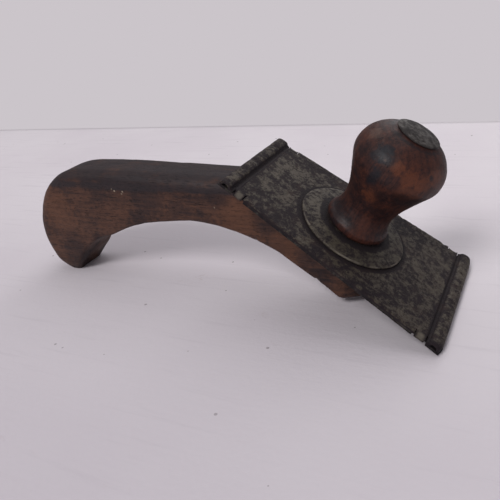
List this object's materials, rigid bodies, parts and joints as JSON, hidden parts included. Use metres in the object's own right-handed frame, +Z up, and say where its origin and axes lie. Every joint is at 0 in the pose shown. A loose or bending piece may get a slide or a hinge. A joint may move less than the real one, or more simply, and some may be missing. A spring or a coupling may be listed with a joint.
{
  "type": "hand plane",
  "caption": "Arched wooden hand plane with a double-ended scraping blade under a flared steel cap, clamped by a turned knob on a coach bolt.",
  "frame": {"origin": "middle of the flat foot under the rear grip, on the bench", "axes": "+X forward along the tool to the cutting edge, +Z up from the bench, the tool is symmetric about Y = 0"},
  "size_m": [0.2299, 0.077, 0.0824],
  "materials": {
    "stock_wood": "worn, oiled and darkened",
    "knob_wood": "worn varnish",
    "cap_steel": "dark pitted patina",
    "disc_steel": "dark patina",
    "blade_steel": "dull, nicked edges",
    "bolt_steel": "dull grey"
  },
  "bodies": {
    "stock_body": {"stock": "stock_wood", "nut": "bolt_steel", "nut_washer": "disc_steel", "nut_cover": "cap_steel", "cover_screws": "bolt_steel"},
    "cap": {"cap_plate": "cap_steel"},
    "iron": {"blade": "blade_steel"},
    "clamp": {"pressure_disc": "disc_steel"},
    "knob_body": {"knob": "knob_wood", "bolt": "bolt_steel"}
  },
  "joints": [
    {"name": "cap_swivel", "type": "hinge", "parent": "stock_body", "child": "cap", "pos_m": [0.1675, 0, 0.03241], "axis": [0.5736, 0, 0.8192], "range_deg": [-180, 180]},
    {"name": "blade_set", "type": "slide", "parent": "cap", "child": "iron", "axis": [0.8192, 0, -0.5736], "range_m": [-0.001, 0.001]},
    {"name": "clamp_lift", "type": "slide", "parent": "stock_body", "child": "clamp", "axis": [0.5736, 0, 0.8192], "range_m": [0, 0.00282]},
    {"name": "knob_turn", "type": "hinge", "parent": "clamp", "child": "knob_body", "pos_m": [0.1675, 0, 0.03241], "axis": [0.5736, 0, 0.8192], "range_deg": [0, 720]}
  ],
  "couplings": [
    {"joint": "knob_turn", "follows": "clamp_lift", "rad_per_m": 4452.6}
  ]
}
